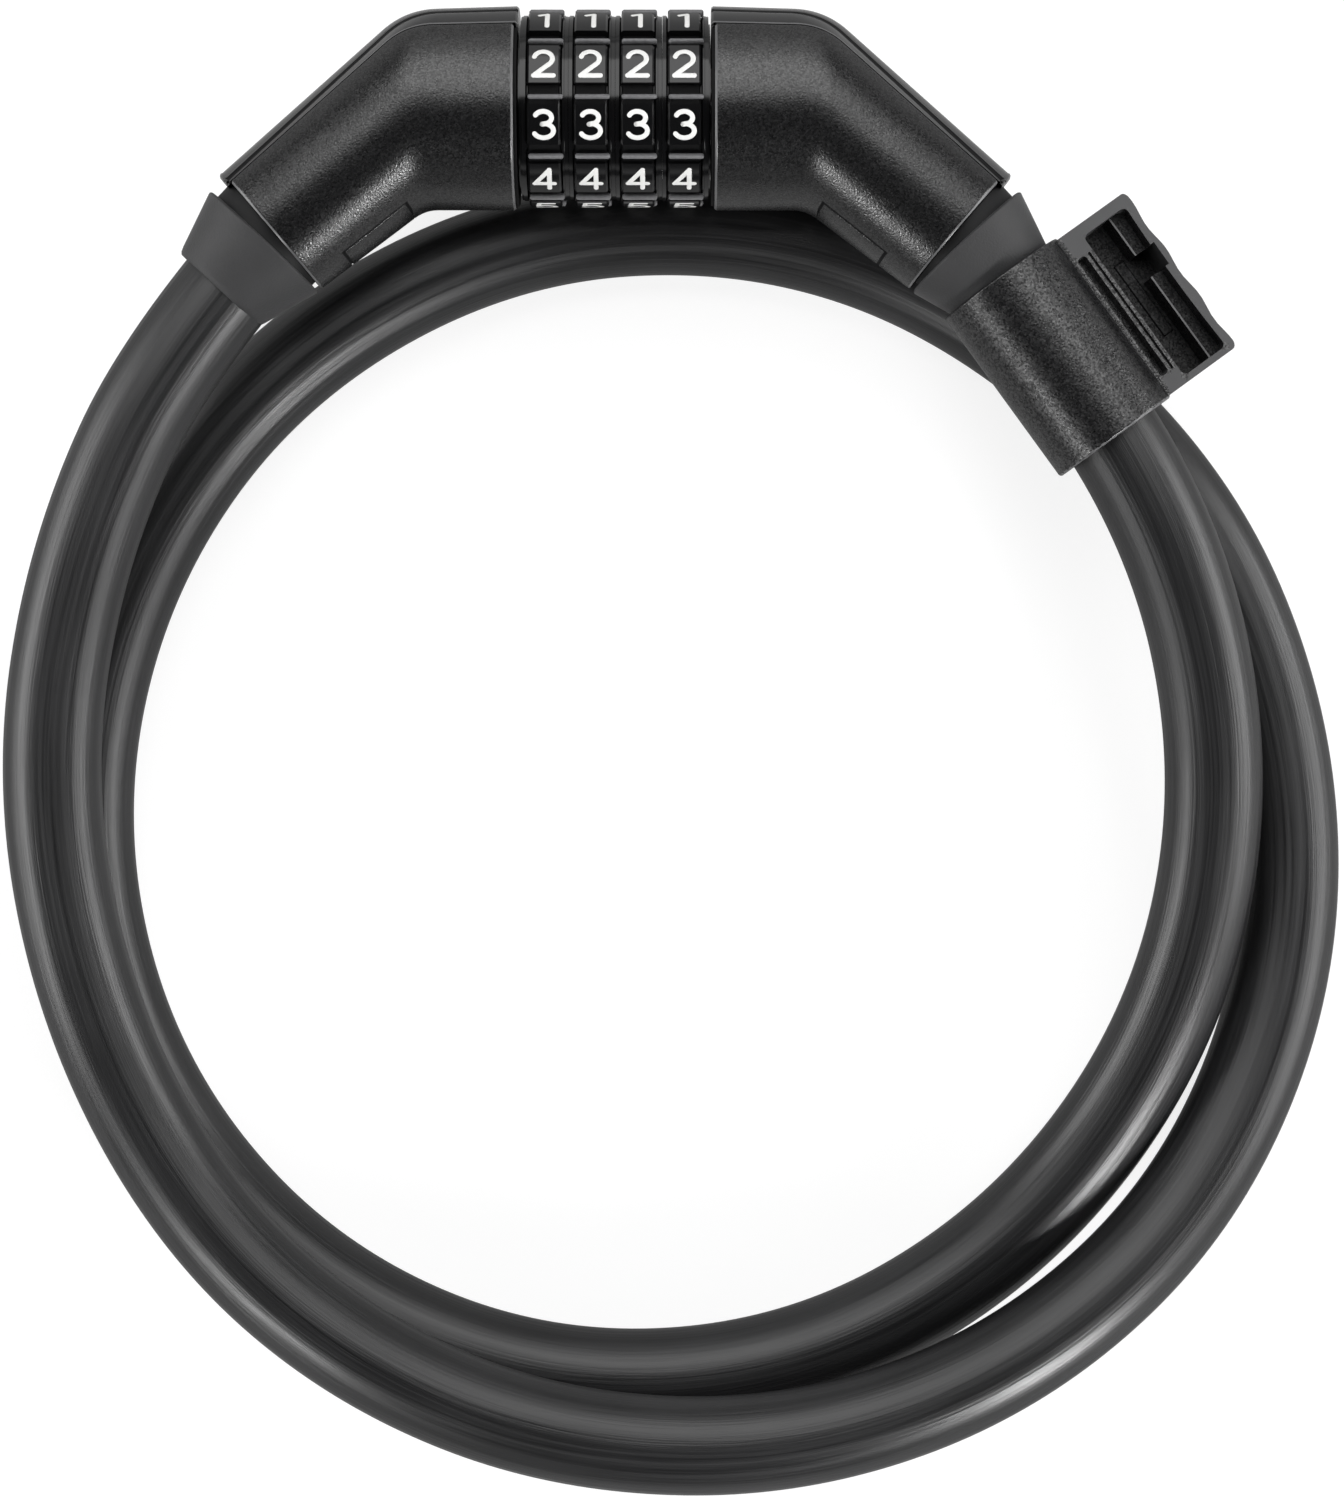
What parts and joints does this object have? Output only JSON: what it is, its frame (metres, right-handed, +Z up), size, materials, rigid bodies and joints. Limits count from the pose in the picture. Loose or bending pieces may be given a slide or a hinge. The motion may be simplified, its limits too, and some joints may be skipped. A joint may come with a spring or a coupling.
{
  "type": "cable lock",
  "caption": "Bicycle cable lock lying coiled: thick sheathed cable, number-wheel lock with angled housings and rubber boots, and a turnable frame holder on the cable.",
  "frame": {"origin": "middle of the footprint on the table plane; the table is z = 0", "axes": "+X along the number wheels' axis towards the plug half, +Y from the middle of the turns towards the lock, +Z up from the table"},
  "size_m": [0.2061, 0.2266, 0.0413],
  "materials": {
    "housing_plastic": "fine moulded grain",
    "cover_plastic": "polished",
    "boot_rubber": "satin",
    "cable_vinyl": "satin extruded vinyl",
    "wheel_plastic": "gloss, white digits",
    "holder_plastic": "coarse grain",
    "liner_rubber": "matt",
    "ring_brass": "turned",
    "hard_steel": "ground",
    "washer_plastic": "smooth"
  },
  "bodies": {
    "plug_half": {"plug_shell": "housing_plastic", "plug_cover": "cover_plastic", "plug_boot": "boot_rubber", "plug_ferrule": "hard_steel", "plug_ferrule_pin": "hard_steel", "plug_rope_end": "hard_steel", "locking_bolt": "hard_steel", "bolt_pin": "hard_steel", "cable_sheath": "cable_vinyl"},
    "lock_half": {"body_shell": "housing_plastic", "body_cover": "cover_plastic", "body_boot": "boot_rubber", "body_ferrule": "hard_steel", "body_ferrule_pin": "hard_steel", "body_rope_end": "hard_steel", "code_barrel": "hard_steel", "barrel_pin": "hard_steel", "click_spring": "hard_steel", "end_washers": "washer_plastic"},
    "wheel_1": {"dial_1": "wheel_plastic", "code_ring_1": "ring_brass"},
    "wheel_2": {"dial_2": "wheel_plastic", "code_ring_2": "ring_brass"},
    "wheel_3": {"dial_3": "wheel_plastic", "code_ring_3": "ring_brass"},
    "wheel_4": {"dial_4": "wheel_plastic", "code_ring_4": "ring_brass"},
    "holder": {"holder_collar": "holder_plastic", "holder_liner": "liner_rubber"}
  },
  "joints": [
    {"name": "plug_pull", "type": "slide", "parent": "plug_half", "child": "lock_half", "axis": [-1, 0, 0], "range_m": [0, 0.034], "deforming": ["cable_sheath"]},
    {"name": "wheel_1_turn", "type": "hinge", "parent": "lock_half", "child": "wheel_1", "pos_m": [-0.02005, 0.0975, 0.026], "axis": [1, 0, 0], "continuous": true, "deforming": ["click_spring"]},
    {"name": "wheel_2_turn", "type": "hinge", "parent": "lock_half", "child": "wheel_2", "pos_m": [-0.01308, 0.0975, 0.026], "axis": [1, 0, 0], "continuous": true, "deforming": ["click_spring"]},
    {"name": "wheel_3_turn", "type": "hinge", "parent": "lock_half", "child": "wheel_3", "pos_m": [-0.00611, 0.0975, 0.026], "axis": [1, 0, 0], "continuous": true, "deforming": ["click_spring"]},
    {"name": "wheel_4_turn", "type": "hinge", "parent": "lock_half", "child": "wheel_4", "pos_m": [0.00085, 0.0975, 0.026], "axis": [1, 0, 0], "continuous": true, "deforming": ["click_spring"]},
    {"name": "holder_turn", "type": "hinge", "parent": "plug_half", "child": "holder", "pos_m": [0.0489, 0.07164, 0.026], "axis": [0.5878, -0.809, 0], "range_deg": [-10, 205]}
  ]
}
